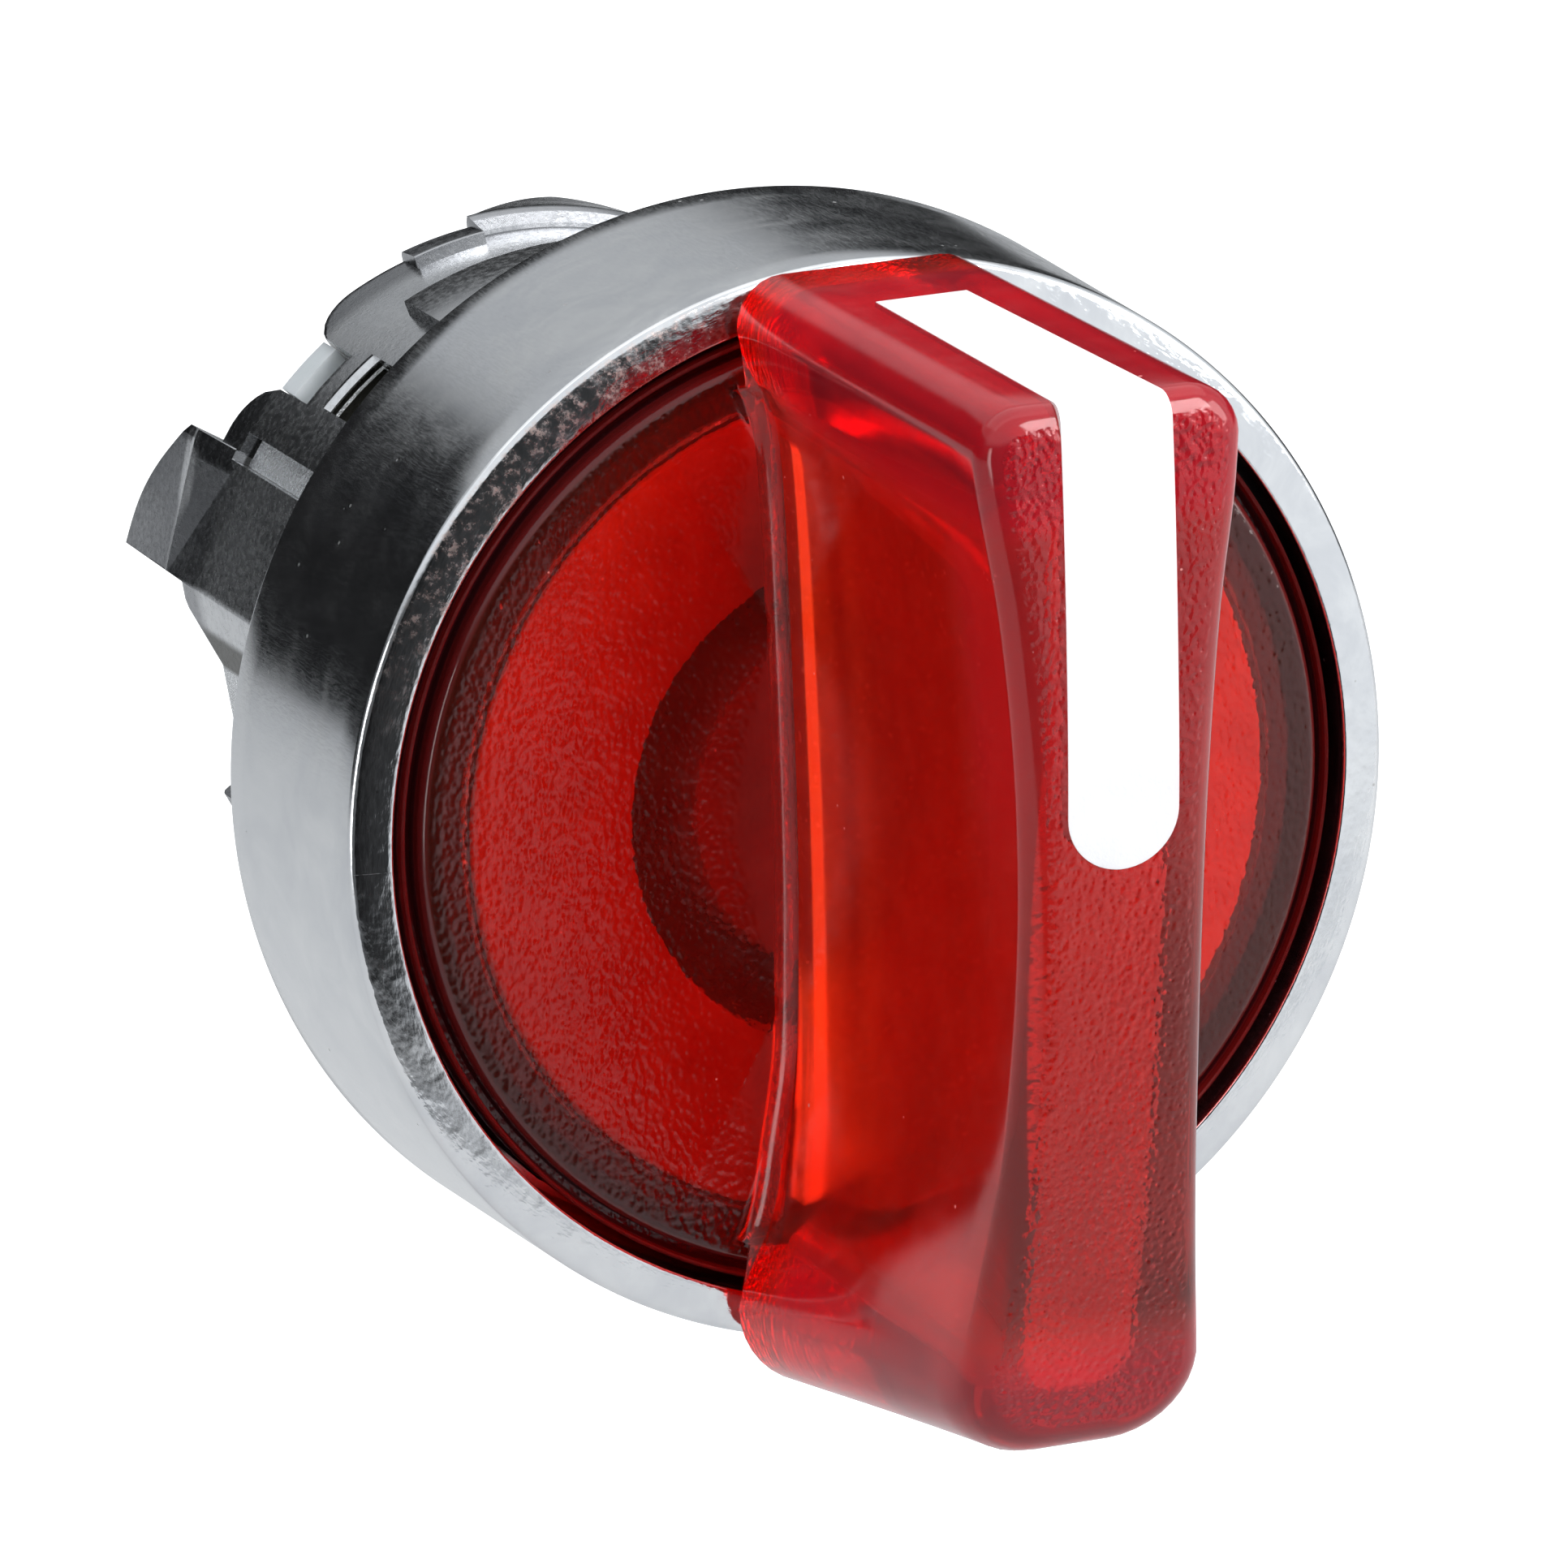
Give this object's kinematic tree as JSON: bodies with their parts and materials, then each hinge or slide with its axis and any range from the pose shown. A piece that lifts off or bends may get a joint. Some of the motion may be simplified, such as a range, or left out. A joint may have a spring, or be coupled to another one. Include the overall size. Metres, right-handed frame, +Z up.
{
  "type": "illuminated rotary selector head",
  "caption": "Panel-mounted illuminated selector switch head: a red translucent turn knob with a white pointer in a round chromed bezel, and a cam that drives two push rods.",
  "frame": {"origin": "on the knob's axis, in the plane where the bezel meets the front face of the panel", "axes": "+Z up, towards the tip of the pointer at rest; -Y out of the panel towards the user; +Y through the panel; +X to the user's right"},
  "size_m": [0.0294, 0.0477, 0.03],
  "materials": {
    "chromed_zinc": "bright chrome over a slightly rough die casting, satin on the turned sides",
    "red_translucent_plastic": "translucent deep red, fine pebble texture on the outer faces",
    "white_plastic": "opaque white, very fine grain",
    "opal_plastic": "opal diffuser white",
    "clear_plastic": "clear light-guide plastic",
    "natural_acetal": "natural, slightly waxy",
    "black_rubber": "matt black",
    "black_plastic": "dark grey moulded nylon",
    "spring_steel": "bright drawn wire and strip"
  },
  "bodies": {
    "housing": {"bezel_body": "chromed_zinc", "panel_gasket": "black_rubber", "knob_lip_seal": "black_rubber", "thrust_washer": "natural_acetal", "rotor_bush": "natural_acetal", "detent_spring_upper": "spring_steel", "detent_spring_lower": "spring_steel", "plunger_guide": "white_plastic", "plunger_spring_left": "spring_steel", "plunger_spring_right": "spring_steel"},
    "knob": {"knob_lens": "red_translucent_plastic", "pointer_inlay": "white_plastic", "light_guide": "clear_plastic", "diffuser_ring": "opal_plastic", "light_pipe": "clear_plastic", "rotor": "black_plastic", "rotor_o_ring": "black_rubber", "retaining_clip": "spring_steel", "cam_ring": "natural_acetal"},
    "left_push_rod": {"plunger_left": "white_plastic"},
    "right_push_rod": {"plunger_right": "white_plastic"}
  },
  "joints": [
    {"name": "knob_turn", "type": "hinge", "parent": "housing", "child": "knob", "pos_m": [0, 0, 0], "axis": [0, 1, 0], "range_deg": [-45, 45], "deforming": ["detent_spring_upper", "detent_spring_lower"]},
    {"name": "left_rod_slide", "type": "slide", "parent": "housing", "child": "left_push_rod", "axis": [0, 1, 0], "range_m": [-0.0015, 0.0015], "deforming": ["plunger_spring_left"]},
    {"name": "right_rod_slide", "type": "slide", "parent": "housing", "child": "right_push_rod", "axis": [0, 1, 0], "range_m": [-0.0015, 0.0015], "deforming": ["plunger_spring_right"]}
  ],
  "couplings": [
    {"joint": "right_rod_slide", "follows": "knob_turn", "m_per_rad": 0.0019099},
    {"joint": "left_rod_slide", "follows": "knob_turn", "m_per_rad": -0.0019099}
  ]
}
